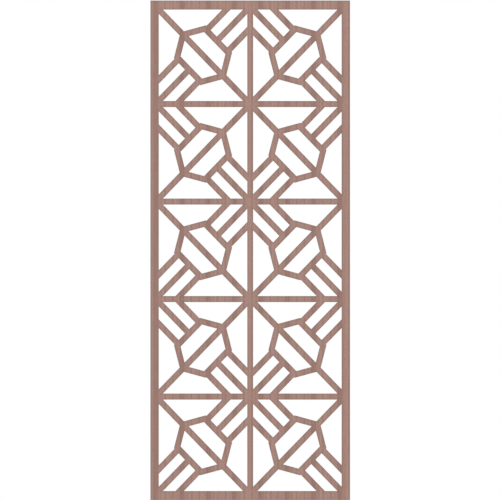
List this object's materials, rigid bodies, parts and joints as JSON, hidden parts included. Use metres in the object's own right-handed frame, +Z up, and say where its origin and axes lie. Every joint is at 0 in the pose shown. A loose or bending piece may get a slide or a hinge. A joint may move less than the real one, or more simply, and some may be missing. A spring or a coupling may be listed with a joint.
{
  "type": "fretwork wall panel",
  "caption": "Tall flat decorative wall panel cut through a walnut-faced sheet, with a plain border round mirrored cells of hexagons, diagonals and parallel braces.",
  "frame": {"origin": "middle of the flat back face, where the panel lies on its wall", "axes": "+Z up along the panel's height, +Y into the wall out of the flat back, so the shown face looks towards -Y; +X to the right as a viewer sees the shown face"},
  "size_m": [0.594, 0.0064, 1.487],
  "materials": {
    "walnut": "satin"
  },
  "bodies": {
    "root": {"fretwork_panel": "walnut"}
  },
  "joints": []
}
